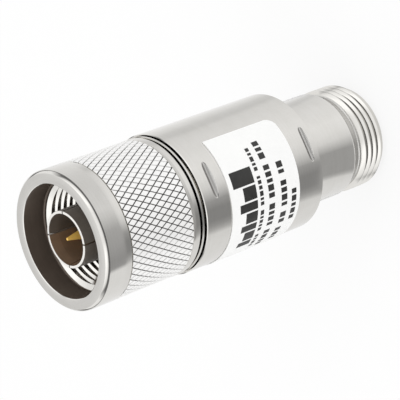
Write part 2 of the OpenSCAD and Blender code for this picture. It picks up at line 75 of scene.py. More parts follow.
def rounded(points, steps=4):
    """Closed section of (r, z, fillet) corners, each rounded by its own radius."""
    out = []
    count = len(points)
    for k in range(count):
        here = np.array(points[k][:2], float)
        radius = points[k][2]
        if radius <= 0:
            out.append(tuple(here))
            continue
        back = np.array(points[k - 1][:2], float) - here
        ahead = np.array(points[(k + 1) % count][:2], float) - here
        back /= np.linalg.norm(back)
        ahead /= np.linalg.norm(ahead)
        half = math.acos(max(-1.0, min(1.0, float(back @ ahead)))) / 2
        reach = radius / math.tan(half)
        middle = back + ahead
        centre = here + middle / np.linalg.norm(middle) * radius / math.sin(half)
        first = here + back * reach - centre
        last = here + ahead * reach - centre
        turn = math.atan2(first[0] * last[1] - first[1] * last[0], float(first @ last))
        for s in range(steps + 1):
            a = turn * s / steps
            spin = np.array([[math.cos(a), -math.sin(a)], [math.sin(a), math.cos(a)]])
            out.append(tuple(centre + spin @ first))
    return out


def revolved(rows, columns):
    """Vertices and quads of a closed section turned round the axis. A row's radius may vary by column."""
    angle = np.arange(columns) * 2 * math.pi / columns
    spots = []
    for radius, height in rows:
        radius = np.broadcast_to(np.asarray(radius, float), (columns,))
        x = radius * np.cos(angle)
        y = radius * np.sin(angle)
        spots.append(np.stack([x, y, np.full(columns, height)], axis=1))
    faces = []
    count = len(rows)
    for j in range(count):
        low, high = j * columns, (j + 1) % count * columns
        for i in range(columns):
            n = (i + 1) % columns
            faces.append((low + i, low + n, high + n, high + i))
    return np.concatenate(spots), faces


def helix_ridge(section, z_start, first, turns, limit):
    """Closed ridge of (r, z) section points swept along the thread, for some turns from the first one on.
    The thread passes z_start at turn 0, and limit trims each swept point."""
    count = int(turns * THREAD_STEPS)
    size = len(section)
    spots = []
    for t in range(count + 1):
        turn = first + t / THREAD_STEPS
        a = 2 * math.pi * turn
        lift = z_start + THREAD_PITCH * turn
        for r, z in section:
            r, z = limit(r, z + lift, t / count)
            spots.append((r * math.cos(a), r * math.sin(a), z))
    faces = [tuple(range(size)), tuple(range(count * size, (count + 1) * size))]
    for t in range(count):
        for k in range(size):
            n = (k + 1) % size
            faces.append((t * size + k, t * size + n, (t + 1) * size + n, (t + 1) * size + k))
    return np.array(spots), faces


def make_piece(name, parts, materials, body):
    """One object from closed shells given in millimetres, smooth except at sharp edges.
    A shell is its vertices, its faces and the material numbers of its faces."""
    spots, faces, finish, start = [], [], [], 0
    for part_spots, part_faces, part_finish in parts:
        spots.append(part_spots)
        faces += [tuple(start + v for v in f) for f in part_faces]
        finish += list(np.broadcast_to(part_finish, (len(part_faces),)))
        start += len(part_spots)
    mesh = bpy.data.meshes.new(name)
    mesh.from_pydata((np.concatenate(spots) * MM).tolist(), [], faces)
    mesh.polygons.foreach_set("material_index", np.array(finish, np.int32))
    work = bmesh.new()
    work.from_mesh(mesh)
    bmesh.ops.recalc_face_normals(work, faces=work.faces)
    work.to_mesh(mesh)
    work.free()
    mesh.shade_smooth()
    mesh.set_sharp_from_angle(angle=math.radians(SHARP_ANGLE))
    for material in materials:
        mesh.materials.append(material)
    piece = bpy.data.objects.new(name, mesh)
    scene.collection.objects.link(piece)
    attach(piece, body)
    return piece


# Material helpers
LINE_SCALE, LINE_HEIGHT = 2600.0, 0.0000006
CLOUD_SCALE = 420.0
LINE_SHARE, CLOUD_SHARE = 0.45, 0.55
TINT_LOW, TINT_HIGH = 0.3, 0.62
ROUGH_FROM, ROUGH_TO = 0.3, 0.7
MATT_LOW, MATT_HIGH = 0.35, 0.62
MATT_CLOUD_RATIO = 9
FACING_FROM, FACING_TO, FACING_LEFT = 0.08, 0.28, 0.22


def blank(name):
    material = bpy.data.materials.new(name)
    material.use_nodes = True
    tree = material.node_tree
    return material, tree, tree.nodes["Principled BSDF"]


def add(tree, kind, inputs=None, **settings):
    """Adds a node, sets its properties, and sets or links its inputs by name or number."""
    made = tree.nodes.new("ShaderNode" + kind)
    for key, value in settings.items():
        setattr(made, key, value)
    for key, value in (inputs or {}).items():
        if isinstance(value, bpy.types.NodeSocket):
            tree.links.new(value, made.inputs[key])
        else:
            made.inputs[key].default_value = value
    return made


def maths(tree, operation, *values):
    return add(tree, "Math", dict(enumerate(values)), operation=operation).outputs[0]


def ramp(tree, factor, stops):
    """Straight colour ramp with (position, colour or grey) stops."""
    made = add(tree, "ValToRGB", {"Fac": factor})
    elements = made.color_ramp.elements
    while len(elements) < len(stops):
        elements.new(0.5)
    for element, (position, colour) in zip(elements, stops):
        element.position = position
        element.color = (*colour, 1) if isinstance(colour, tuple) else (colour, colour, colour, 1)
    return made.outputs["Color"]


def map_range(tree, value, low, high, at_low, at_high):
    """Value between two ends when the input runs from low to high, and the nearer end outside that."""
    return add(tree, "MapRange", {0: value, 1: low, 2: high, 3: at_low, 4: at_high}).outputs[0]


def mix_colours(tree, factor, first, second, blend="MIX"):
    made = add(tree, "Mix", {0: factor, 6: first, 7: second}, data_type="RGBA", blend_type=blend)
    return made.outputs[2]


def dot(tree, first, second):
    made = add(tree, "VectorMath", {0: first, 1: second}, operation="DOT_PRODUCT")
    return made.outputs["Value"]


def from_axis(tree, place):
    """The part of a place that points away from the axis."""
    split = add(tree, "SeparateXYZ", {0: place})
    return add(tree, "CombineXYZ", {"X": split.outputs["X"], "Y": split.outputs["Y"]}).outputs[0]


def turned_place(tree):
    """A place on the piece, then its distance from the axis and its height: both in one vector, along which
    turning marks vary, and each apart."""
    place = add(tree, "TexCoord").outputs["Object"]
    height = add(tree, "SeparateXYZ", {0: place}).outputs["Z"]
    radius = add(tree, "VectorMath", {0: from_axis(tree, place)}, operation="LENGTH").outputs["Value"]
    turned = add(tree, "CombineXYZ", {"X": radius, "Y": height}).outputs[0]
    return place, turned, radius, height


def between(tree, value, low, high):
    """1 where a length in metres lies between two limits in millimetres, and 0 elsewhere."""
    above = maths(tree, "GREATER_THAN", value, low * MM)
    return maths(tree, "MULTIPLY", above, maths(tree, "LESS_THAN", value, high * MM))


def wall_facing(tree, place):
    """How much more a wall faces the viewer than the round surface that it is cut into."""
    outward = add(tree, "VectorMath", {0: from_axis(tree, place)}, operation="NORMALIZE").outputs[0]
    outward = add(tree, "VectorTransform", {0: outward}, vector_type="VECTOR",
                  convert_from="OBJECT", convert_to="WORLD").outputs[0]
    geometry = add(tree, "NewGeometry")
    viewer = geometry.outputs["Incoming"]
    wall = dot(tree, geometry.outputs["True Normal"], viewer)
    return maths(tree, "SUBTRACT", wall, dot(tree, outward, viewer))


def noise(tree, vector, scale, detail=3.0, roughness=0.55):
    made = add(tree, "TexNoise", {"Vector": vector, "Scale": scale, "Detail": detail, "Roughness": roughness})
    return made.outputs["Fac"]


def metal(name, light, dark, rough_low, rough_high, metallic=1.0, painted_light_zones=(), groove_shade=None):
    """Turned and plated metal: fine turning marks, cloudy tarnish and uneven polish.
    A painted light zone is (zone, light, dark, roughness, metallic), and its colours paint shade, a highlight
    or a reflection there. A zone is (r from, r to, z from, z to) and, for half of it, the direction of that
    half in degrees.
    Groove shade is (r of the bottom, r of the top, tint): painted shade in groove bottoms, less on walls
    facing the viewer."""
    material, tree, shader = blank(name)
    place, turned, radius, height = turned_place(tree)
    clouds = noise(tree, place, CLOUD_SCALE, detail=4.0)
    lines = noise(tree, turned, LINE_SCALE, detail=4.0, roughness=0.7)
    tint = maths(tree, "MULTIPLY_ADD", lines, LINE_SHARE, maths(tree, "MULTIPLY", clouds, CLOUD_SHARE))
    colour = ramp(tree, tint, [(TINT_LOW, dark), (TINT_HIGH, light)])
    rough = map_range(tree, tint, ROUGH_FROM, ROUGH_TO, rough_low, rough_high)
    shine = metallic
    # Painted light: each zone's colours paint shade, a highlight or a reflection there
    for (r0, r1, z0, z1, *half), shade_light, shade_dark, shade_rough, shade_metallic in painted_light_zones:
        mask = maths(tree, "MULTIPLY", between(tree, radius, r0, r1), between(tree, height, z0, z1))
        if half:
            way = math.radians(half[0])
            side = dot(tree, place, (math.cos(way), math.sin(way), 0))
            mask = maths(tree, "MULTIPLY", mask, maths(tree, "GREATER_THAN", side, 0.0))
        shaded = ramp(tree, tint, [(TINT_LOW, shade_dark), (TINT_HIGH, shade_light)])
        colour = mix_colours(tree, mask, colour, shaded)
        rough = add(tree, "Mix", {0: mask, 2: rough, 3: shade_rough}).outputs[0]
        shine = add(tree, "Mix", {0: mask, 2: shine, 3: shade_metallic}).outputs[0]
    if painted_light_zones:
        tree.links.new(shine, shader.inputs["Metallic"])
    else:
        shader.inputs["Metallic"].default_value = metallic
    # Painted shade: darkens the bottoms of grooves, and less so on walls that face the viewer
    if groove_shade:
        bottom, top, groove_shade_tint = groove_shade
        depth = map_range(tree, radius, bottom * MM, top * MM, 1.0, 0.0)
        shown = map_range(tree, wall_facing(tree, place), FACING_FROM, FACING_TO, 1.0, FACING_LEFT)
        depth = maths(tree, "MULTIPLY", depth, shown)
        colour = mix_colours(tree, depth, colour, (*groove_shade_tint, 1), "MULTIPLY")
    bump = add(tree, "Bump", {"Strength": 1.0, "Distance": LINE_HEIGHT, "Height": lines})
    tree.links.new(colour, shader.inputs["Base Color"])
    tree.links.new(rough, shader.inputs["Roughness"])
    tree.links.new(bump.outputs[0], shader.inputs["Normal"])
    return material


def matt(name, light, dark, scale, rough_low, rough_high, height):
    """Non-metal with a speckled colour, uneven gloss, and a fine grain of a given scale and height."""
    material, tree, shader = blank(name)
    place = add(tree, "TexCoord").outputs["Object"]
    grain = noise(tree, place, scale, detail=5.0, roughness=0.6)
    clouds = noise(tree, place, scale / MATT_CLOUD_RATIO, detail=2.0)
    mixed = maths(tree, "MULTIPLY_ADD", grain, 0.5, maths(tree, "MULTIPLY", clouds, 0.5))
    colour = ramp(tree, mixed, [(MATT_LOW, dark), (MATT_HIGH, light)])
    rough = map_range(tree, grain, ROUGH_FROM, ROUGH_TO, rough_low, rough_high)
    bump = add(tree, "Bump", {"Strength": 1.0, "Distance": height, "Height": grain})
    tree.links.new(colour, shader.inputs["Base Color"])
    tree.links.new(rough, shader.inputs["Roughness"])
    tree.links.new(bump.outputs[0], shader.inputs["Normal"])
    return material


# Materials

# Zones of the turned parts with painted shade, a painted highlight or a painted reflection: (r from, r to, z
# from, z to)
# Painted shade on the inside and the outside of the contact tube, deep in the nut
CONTACT_INSIDE = (0.0, 3.95, 43.0, 54.97)
CONTACT_OUTSIDE = (3.95, 4.6, 43.0, 54.97)
# Painted highlight on the contact's rim
CONTACT_RIM = (3.6, 4.2, 54.97, 55.1)
# Painted warm reflection of the gold pin on the half of the contact's inside that faces this angle in degrees
CONTACT_WARM_SIDE = 157
# Painted shade in the stake marks; the plug-side half of each mark is painted darker still
STAKE_MARKS = (9.0, 10.27, 16.5, 38.0)
STAKE_HALF_W = 1.0
# Painted shade in the jack's relief groove
JACK_RELIEF = (7.0, 7.38, 4.95, 6.55)

# Painted shade for the bottoms of grooves, and pairs of a light and a dark colour
KNURL_GROOVE_SHADE = (9.975, 10.02, (0.04, 0.036, 0.033))
JACK_GROOVE_SHADE = (7.15, 7.7, (0.8, 0.79, 0.77))
PLATE = (0.80, 0.785, 0.755), (0.75, 0.735, 0.70)
# Painted shade: dark brown for the inside of the nut
PAINTED_SHADE = (0.150, 0.117, 0.093), (0.122, 0.095, 0.075)
# Painted shade for the plug-side half of each stake mark
STAKE_DARK = (0.27, 0.26, 0.25), (0.22, 0.21, 0.20)

plated = metal("plated_metal", *PLATE, 0.06, 0.11)
# Painted shade: the nut's inside is its plating painted dark brown
plated_inside_painted_shade = metal("plated_inside_painted_shade", *PAINTED_SHADE, 0.30, 0.42, metallic=0.4)
# Painted highlight: the knurl is the nut's plating painted near-white, and painted shade darkens its grooves
plated_knurl_painted_light = metal("plated_knurl_painted_light", (0.99, 0.985, 0.975), (0.96, 0.955, 0.945), 0.30, 0.40, metallic=0.2,
                     groove_shade=KNURL_GROOVE_SHADE)
# Painted light on the plug shell: painted shade on the contact tube, a painted warm reflection on half of its
# inside, a painted highlight on its rim
plated_shell = metal("plated_shell", *PLATE, 0.08, 0.14, painted_light_zones=[
    (CONTACT_INSIDE, (0.165, 0.14, 0.115), (0.135, 0.113, 0.092), 0.38, 0.4),
    ((*CONTACT_INSIDE, CONTACT_WARM_SIDE), (0.28, 0.19, 0.125), (0.225, 0.15, 0.096), 0.38, 0.4),
    (CONTACT_OUTSIDE, (0.18, 0.155, 0.132), (0.15, 0.13, 0.11), 0.38, 0.4),
    (CONTACT_RIM, (0.97, 0.95, 0.91), (0.92, 0.90, 0.86), 0.30, 0.4)])
# Painted shade in the stake marks, darker on each mark's plug-side half
plated_barrel = metal("plated_barrel", *PLATE, 0.06, 0.11, painted_light_zones=[
    (STAKE_MARKS, (0.66, 0.65, 0.63), (0.59, 0.58, 0.56), 0.35, 0.6),
    ((*STAKE_MARKS[:2], STAKE_Z, STAKE_Z + STAKE_HALF_W), *STAKE_DARK, 0.35, 0.6),
    ((*STAKE_MARKS[:2], PLUG_STAKE_Z, PLUG_STAKE_Z + STAKE_HALF_W), *STAKE_DARK, 0.35, 0.6)])
# Painted shade in the thread's roots and in the relief groove
plated_jack = metal("plated_jack", *PLATE, 0.06, 0.11, groove_shade=JACK_GROOVE_SHADE, painted_light_zones=[
    (JACK_RELIEF, (0.72, 0.71, 0.69), (0.64, 0.63, 0.61), 0.25, 0.8)])
gold = metal("gold_plate", (1.0, 0.64, 0.16), (0.97, 0.57, 0.11), 0.24, 0.34, metallic=0.3)
brass = metal("bare_brass", (0.76, 0.65, 0.38), (0.66, 0.54, 0.28), 0.22, 0.34)
spring = metal("spring_steel", (0.56, 0.56, 0.57), (0.46, 0.46, 0.48), 0.25, 0.35)
polymer = matt("bead_polymer", (0.90, 0.88, 0.84), (0.83, 0.81, 0.76), 1800.0, 0.38, 0.52, 0.000004)
rubber = matt("gasket_rubber", (0.10, 0.075, 0.055), (0.06, 0.045, 0.035), 2400.0, 0.6, 0.8, 0.00001)
film = matt("label_film", (0.97, 0.97, 0.96), (0.945, 0.945, 0.935), 2000.0, 0.35, 0.5, 0.000003)
ink = matt("label_ink", (0.034, 0.033, 0.031), (0.02, 0.02, 0.019), 3500.0, 0.35, 0.55, 0.000003)
ceramic = matt("card_ceramic", (0.87, 0.86, 0.83), (0.80, 0.79, 0.76), 2600.0, 0.5, 0.7, 0.000005)

NODE_FINISH = {
    "plated_metal": (plated_barrel, ["barrel"]),
    "gold_plate": (gold, ["plug_pin", "jack_contact"]),
    "bare_brass": (brass, ["snap_ring", "plug_bead_bush", "jack_bead_bush",
                           "card_clamp_front", "card_clamp_rear"]),
    "spring_steel": (spring, ["spring_washer"]),
    "bead_polymer": (polymer, ["plug_bead", "jack_bead"]),
    "gasket_rubber": (rubber, ["plug_gasket"]),
    "label_film": (film, ["rating_label"]),
    "card_ceramic": (ceramic, ["resistor_card"]),
}
for slot_name, (material, names) in NODE_FINISH.items():
    for name in names:
        nodes[name].data.materials.clear()
        nodes[name].data.materials.append(material)


# Plug shell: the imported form, with the contact's slots as fine as the photograph shows them
FINE_SLOT_W = 0.2
SLOT_WALL_NEAR = 0.01


def narrow_slots(mesh):
    """Turns the points on both walls of each slot round the axis, towards the slot's middle."""
    step = 2 * math.pi / SLOT_COUNT
    for vertex in mesh.vertices:
        x, y, z = vertex.co / MM
        r = math.hypot(x, y)
        angle = math.atan2(y, x)
        turn = (angle - math.radians(SLOT_ANGLE) + step / 2) % step - step / 2
        aside = r * math.sin(turn)
        if z > SLOT_Z0 - SLOT_WALL_NEAR and abs(abs(aside) - SLOT_W / 2) < SLOT_WALL_NEAR:
            angle += math.copysign(math.asin(FINE_SLOT_W / 2 / r), aside) - turn
            vertex.co.x = r * math.cos(angle) * MM
            vertex.co.y = r * math.sin(angle) * MM


shell_mesh = nodes["plug_shell"].data.copy()
narrow_slots(shell_mesh)
shell_mesh.materials.clear()
shell_mesh.materials.append(plated_shell)
shell = bpy.data.objects.new("slotted_shell", shell_mesh)
scene.collection.objects.link(shell)
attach(shell, "body")
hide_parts("plug_shell")


# Coupling nut: one closed skin with flat-topped knurl diamonds, and the thread as a ridge in its bore
KNURL_FINE = 5
KNURL_ROWS = 60
NUT_COLUMNS = 2 * KNURL_STARTS * KNURL_FINE
GROOVE_DEPTH, SHALLOW_DEPTH = 0.15, 0.11
CROSSING_EXTRA = 0.05
TOP_SOFTEN = 0.012
KNURL_END_R = KNURL_R - GROOVE_DEPTH - 0.1
KNURL_END_GAP = 0.03
LAND_GAP, COLLAR_GAP = 0.06, 0.05
NUT_FILLET_STEPS = 3
FRONT_ROUND, FACE_ROUND = 0.6, 0.07
RIDGE_WALL_R = THREAD_R + 0.02
COUNTERBORE_STEP = 0.13
NUT_SEAM_Z = NUT_Z0 + 1.0
NUT_RIDGE_Z, NUT_RIDGE_FIRST, NUT_RIDGE_TURNS = 47.2535, -0.45, 5.45
NUT_FOOT_R, NUT_FOOT_HALF_W, NUT_CREST_HALF_W = THREAD_R + 0.06, 0.498, 0.04
NUT_FADE_R, NUT_FADE_RATE = THREAD_R + 0.05, 14
NUT_RIDGE_MAX_R, NUT_RIDGE_MAX_Z = COUNTERBORE_R + 0.03, COUNTERBORE_Z + 0.1


def knurl_rows():
    """Rows of radii: narrow grooves cross at a fixed angle and leave flat diamonds between them."""
    period = 2 * KNURL_FINE
    i = np.arange(NUT_COLUMNS)
    rows = []
    for j in range(KNURL_ROWS + 1):
        a = (i + j) % period
        b = (i - j) % period
        a = np.minimum(a, period - a)
        b = np.minimum(b, period - b)
        near = np.minimum(a, b)
        depth = np.where(near == 1, TOP_SOFTEN, 0.0)
        depth = np.where(b == 0, SHALLOW_DEPTH, depth)
        depth = np.where(a == 0, GROOVE_DEPTH, depth)
        depth = np.where((a == 0) & (b == 0), GROOVE_DEPTH + CROSSING_EXTRA, depth)
        r = KNURL_R - depth
        rows.append((r, KNURL_Z0 + (KNURL_Z1 - KNURL_Z0) * j / KNURL_ROWS))
    return rows


def knurl_folded(faces, first_row):
    """Splits the knurl's quads along the grooves, so that each groove has a straight floor and edges."""
    period = 2 * KNURL_FINE
    first = first_row * NUT_COLUMNS
    last = (first_row + KNURL_ROWS) * NUT_COLUMNS
    out = faces[:first]
    for k in range(first, last):
        j, i = divmod(k - first, NUT_COLUMNS)
        a, b, c, d = faces[k]
        beside_falling_groove = (i + j + 2) % period <= 2
        on_rising_groove = (i - j) % period == 0
        if beside_falling_groove and not on_rising_groove:
            out += [(a, b, d), (b, c, d)]
        else:
            out += [(a, b, c), (a, c, d)]
    return out + faces[last:]


# The last corner only gives the first one's fillet its direction, and is dropped
land_side = rounded([
    (NUT_BORE_R, NUT_Z0, SOFT_ROUND),
    (NUT_R - LAND_BEVEL, NUT_Z0, EDGE_ROUND),
    (NUT_R, NUT_Z0 + LAND_BEVEL, EDGE_ROUND),
    (NUT_R, KNURL_Z0 - LAND_GAP, EDGE_ROUND),
    (KNURL_END_R, KNURL_Z0 - KNURL_END_GAP, 0.0),
    (NUT_BORE_R, KNURL_Z0, 0.0),
], NUT_FILLET_STEPS)[:-1]
front_outside = [
    (KNURL_END_R, KNURL_Z1 + KNURL_END_GAP, 0.0),
    (NUT_R - COLLAR_BACK_BEVEL, KNURL_Z1 + COLLAR_GAP, FINE_ROUND),
    (NUT_R, KNURL_Z1 + COLLAR_GAP + COLLAR_BACK_BEVEL, SMALL_ROUND),
    (NUT_R, NUT_Z1 - NUT_BEVEL, FRONT_ROUND),
    (NUT_R - NUT_BEVEL, NUT_Z1, FACE_ROUND),
    (COUNTERBORE_R + MOUTH_BEVEL, NUT_Z1, FINE_ROUND),
]
front_inside = [
    (COUNTERBORE_R, NUT_Z1 - MOUTH_BEVEL, FINE_ROUND),
    (COUNTERBORE_R, COUNTERBORE_Z, EDGE_ROUND),
    (RIDGE_WALL_R, COUNTERBORE_Z - COUNTERBORE_STEP, FINE_ROUND),
    (RIDGE_WALL_R, RUN_OUT_Z1, FINE_ROUND),
    (RUN_OUT_R, RUN_OUT_Z1, FINE_ROUND),
    (RUN_OUT_R, RUN_OUT_Z0, SOFT_ROUND),
    (NUT_BORE_R, RUN_OUT_Z0, EDGE_ROUND),
    (NUT_BORE_R, SNAP_GROOVE_Z1, EDGE_ROUND),
    (SNAP_GROOVE_R, SNAP_GROOVE_Z1, EDGE_ROUND),
    (SNAP_GROOVE_R, SNAP_GROOVE_Z0, EDGE_ROUND),
    (NUT_BORE_R, SNAP_GROOVE_Z0, EDGE_ROUND),
    (NUT_BORE_R, NUT_SEAM_Z, 0.0),
]
front_side = rounded(front_outside + front_inside, NUT_FILLET_STEPS)
nut_rows = land_side + knurl_rows() + front_side
nut_spots, nut_faces = revolved(nut_rows, NUT_COLUMNS)
nut_faces = knurl_folded(nut_faces, len(land_side))


def nut_thread_limit(r, z, share):
    """Keeps the ridge behind the lead-in bevel, and lets it fade out at its inner end."""
    slope = (COUNTERBORE_R - THREAD_MINOR_R) / (COUNTERBORE_Z - LEAD_IN_Z0)
    r = max(r, THREAD_MINOR_R + (z - LEAD_IN_Z0) * slope)
    r = max(r, NUT_FADE_R - (NUT_FADE_R - THREAD_MINOR_R) * min(1.0, share * NUT_FADE_RATE))
    return min(r, NUT_RIDGE_MAX_R), min(z, NUT_RIDGE_MAX_Z)


nut_ridge_section = [
    (NUT_FOOT_R, -NUT_FOOT_HALF_W), (THREAD_MINOR_R, -NUT_CREST_HALF_W),
    (THREAD_MINOR_R, NUT_CREST_HALF_W), (NUT_FOOT_R, NUT_FOOT_HALF_W),
]
nut_ridge = helix_ridge(
    nut_ridge_section, NUT_RIDGE_Z, NUT_RIDGE_FIRST, NUT_RIDGE_TURNS, nut_thread_limit)

# Material numbers of the nut's faces: 0 is plated, 1 the knurl and 2 the inside
outside_rows = 1 + (len(front_outside) - 1) * (NUT_FILLET_STEPS + 1)
inside_rows = len(front_side) - outside_rows
nut_finish = np.concatenate([
    np.zeros(len(land_side) * NUT_COLUMNS, int),
    np.ones(KNURL_ROWS * NUT_COLUMNS * 2, int),
    np.zeros((outside_rows + 1) * NUT_COLUMNS, int),
    np.full(inside_rows * NUT_COLUMNS, 2)])
nut = make_piece(
    "knurled_nut", [(nut_spots, nut_faces, nut_finish), (*nut_ridge, 0)],
    [plated, plated_knurl_painted_light, plated_inside_painted_shade], "nut")
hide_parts("coupling_nut")


# Jack: turned body with a real thread at its front end
JACK_COLUMNS = 240
RIM_ROUND, RELIEF_ROUND, SOCKET_ROUND = 0.08, 0.12, 0.06
ROOT_END_Z, RELIEF_START_Z = JACK_THREAD_END + 0.28, JACK_THREAD_END + 0.42
JACK_RIDGE_Z, JACK_RIDGE_FIRST, JACK_RIDGE_TURNS = -0.3515, 0.0, 5.4
JACK_FOOT_R, JACK_FOOT_HALF_W = JACK_ROOT_R - 0.06, 0.476
JACK_FLANK_TOP_R, JACK_FLANK_TOP_HALF_W, JACK_CREST_HALF_W = THREAD_R - 0.03, 0.085, 0.05
JACK_RIDGE_MIN_Z, JACK_RIDGE_MAX_Z = 0.5, JACK_THREAD_END + 0.36
JACK_RIDGE_MIN_R = JACK_RELIEF_R - 0.15
RIDGE_RISE_R, RIDGE_RISE_Z, RIDGE_RISE_SLOPE = JACK_ROOT_R - 0.05, 0.75, 1.2
RIDGE_FALL_SLOPE = 2

jack_section = rounded([
    (SOCKET_R + SOCKET_BEVEL, 0.0, EDGE_ROUND),
    (JACK_ROOT_R - JACK_BEVEL, 0.0, RIM_ROUND),
    (JACK_ROOT_R, JACK_BEVEL, EDGE_ROUND),
    (JACK_ROOT_R, ROOT_END_Z, EDGE_ROUND),
    (JACK_RELIEF_R, RELIEF_START_Z, SOFT_ROUND),
    (JACK_RELIEF_R, JACK_RELIEF_END, RELIEF_ROUND),
    (THREAD_R, JACK_RELIEF_END, NECK_ROUND),
    (THREAD_R, JACK_SHOULDER_Z, SOFT_ROUND),
    (SPIGOT_R, JACK_SHOULDER_Z, RIM_ROUND),
    (SPIGOT_R, STAKE_Z - STAKE_GROOVE_W / 2, SMALL_ROUND),
    (SPIGOT_R - STAKE_GROOVE_DEPTH, STAKE_Z - STAKE_GROOVE_W / 2, SMALL_ROUND),
    (SPIGOT_R - STAKE_GROOVE_DEPTH, STAKE_Z + STAKE_GROOVE_W / 2, SMALL_ROUND),
    (SPIGOT_R, STAKE_Z + STAKE_GROOVE_W / 2, SMALL_ROUND),
    (SPIGOT_R, JACK_SPIGOT_Z, SOFT_ROUND),
    (BEAD_SEAT_R, JACK_SPIGOT_Z, EDGE_ROUND),
    (BEAD_SEAT_R, BEAD_Z0, 0.0),
    (LINE_R, BEAD_Z0, 0.0),
    (LINE_R, SOCKET_DEPTH, SMALL_ROUND),
    (SOCKET_R, SOCKET_DEPTH, SOCKET_ROUND),
    (SOCKET_R, SOCKET_BEVEL, SOCKET_ROUND),
])


def jack_thread_limit(r, z, _share):
    """Starts the ridge behind the plain end of the jack and ends it along a slope."""
    z = max(z, JACK_RIDGE_MIN_Z)
    r = min(r, RIDGE_RISE_R + RIDGE_RISE_SLOPE * max(0.0, z - RIDGE_RISE_Z))
    r = min(r, THREAD_R - RIDGE_FALL_SLOPE * (z - JACK_THREAD_END))
    return max(r, JACK_RIDGE_MIN_R), min(z, JACK_RIDGE_MAX_Z)


jack_ridge_section = [
    (JACK_FOOT_R, -JACK_FOOT_HALF_W), (JACK_FLANK_TOP_R, -JACK_FLANK_TOP_HALF_W),
    (THREAD_R, -JACK_CREST_HALF_W), (THREAD_R, JACK_CREST_HALF_W),
    (JACK_FLANK_TOP_R, JACK_FLANK_TOP_HALF_W), (JACK_FOOT_R, JACK_FOOT_HALF_W),
]
jack_ridge = helix_ridge(
    jack_ridge_section, JACK_RIDGE_Z, JACK_RIDGE_FIRST, JACK_RIDGE_TURNS, jack_thread_limit)
jack = make_piece(
    "threaded_jack", [(*revolved(jack_section, JACK_COLUMNS), 0), (*jack_ridge, 0)],
    [plated_jack], "body")
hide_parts("jack_shell")


# Label print: plain bars and dashes in dark ink, no letters
PRINT_LIFT, PRINT_T = 0.002, 0.006
PRINT_STEP = 1.5
BAR_BOTTOM = 29.0
# Angles and lengths are in degrees round the axis; a bar is (start, length, top)
BARS = [
    (-87, 13, 33.0), (-101.5, 11, 31.4), (-114, 7, 32.3), (-122.5, 9, 31.2), (-133, 6, 31.9),
    (-140.5, 9, 31.0), (-151, 6, 31.5),
]
# A row of dashes is (start, bottom, top, lengths, gap, word gap)
DASH_ROWS = [
    (-73, 27.8, 28.45, [3, 2, 4, 2, 3, 0, 2, 3, 3, 4, 2, 3, 0, 4, 2, 3, 2, 3, 0, 3, 2, 4, 3], 1.3, 3),
    (-70, 25.7, 26.8, [4, 3, 5, 0, 4, 4, 3, 5, 4, 0, 5, 3, 4, 3, 0, 4, 5, 3, 4], 1.6, 3.5),
    (-91, 23.3, 24.4, [5, 3, 0, 4, 4, 5, 3, 0, 5, 4, 0, 4, 5, 3], 1.7, 4),
    (-116, 21.5, 22.4, [4, 5, 3, 5, 4], 1.7, 4),
]


def print_patch(angle_from, angle_to, z_from, z_to):
    """Thin curved patch of ink on the label, between two angles in degrees and two heights."""
    steps = max(2, int(abs(angle_to - angle_from) / PRINT_STEP) + 1)
    spots = []
    for k in range(steps + 1):
        a = math.radians(angle_from + (angle_to - angle_from) * k / steps)
        for r, z in ((0, z_from), (PRINT_T, z_from), (PRINT_T, z_to), (0, z_to)):
            r += LABEL_TOP_R + PRINT_LIFT
            spots.append((r * math.cos(a), r * math.sin(a), z))
    faces = [(0, 1, 2, 3), tuple(4 * steps + k for k in range(4))]
    for k in range(steps):
        for c in range(4):
            n = (c + 1) % 4
            faces.append((4 * k + c, 4 * k + n, 4 * k + 4 + n, 4 * k + 4 + c))
    return np.array(spots), faces


def dash_row(start, z_from, z_to, lengths, gap, word_gap):
    """Row of dashes that starts at an angle and runs on; a length of 0 is a wider gap."""
    out, angle = [], start
    for length in lengths:
        if length == 0:
            angle -= word_gap
            continue
        out.append(print_patch(angle, angle - length, z_from, z_to))
        angle -= length + gap
    return out


print_parts = []
for start, length, top in BARS:
    print_parts.append(print_patch(start, start - length, BAR_BOTTOM, top))
for row in DASH_ROWS:
    print_parts += dash_row(*row)
make_piece("label_print", [(*part, 0) for part in print_parts], [ink], "body")


# Camera at the photograph's angle
CAMERA_PLACE = (-0.00142, -0.22677, 0.20387)
CAMERA_TILT, CAMERA_ROLL = 52.72, -110.82
CAMERA_LENS, CAMERA_SENSOR, CAMERA_CLIP = 179.8, 36.0, 0.02

camera_data = bpy.data.cameras.new("camera")
camera_data.lens = CAMERA_LENS
camera_data.sensor_width = CAMERA_SENSOR
camera_data.clip_start = CAMERA_CLIP
camera = bpy.data.objects.new("camera", camera_data)
scene.collection.objects.link(camera)
camera.matrix_world = (
    Matrix.Translation(CAMERA_PLACE)
    @ Matrix.Rotation(math.radians(CAMERA_TILT), 4, "X")
    @ Matrix.Rotation(math.radians(CAMERA_ROLL), 4, "Z"))
scene.camera = camera


# Floor: white to the camera with a soft shadow, and brighter or darker by direction in reflections

# Tones by direction in degrees, close to the object and farther away
FLOOR_TONES = [
    (0, 0.80), (10, 0.69), (20, 0.72), (30, 0.82), (50, 0.93), (70, 0.95), (90, 0.86), (182, 0.82),
    (197, 0.78), (204, 0.50), (211, 0.36), (219, 0.28), (236, 0.28), (248, 0.38), (258, 0.60), (268, 0.80),
    (280, 0.90), (300, 0.95), (330, 0.88), (359, 0.80),
]
FAR_TONES = [
    (0, 0.76), (50, 0.90), (90, 0.90), (180, 0.84), (196, 0.84), (202, 0.36), (214, 0.34), (240, 0.42),
    (260, 0.46), (280, 0.70), (292, 0.78), (330, 0.74), (359, 0.76),
]
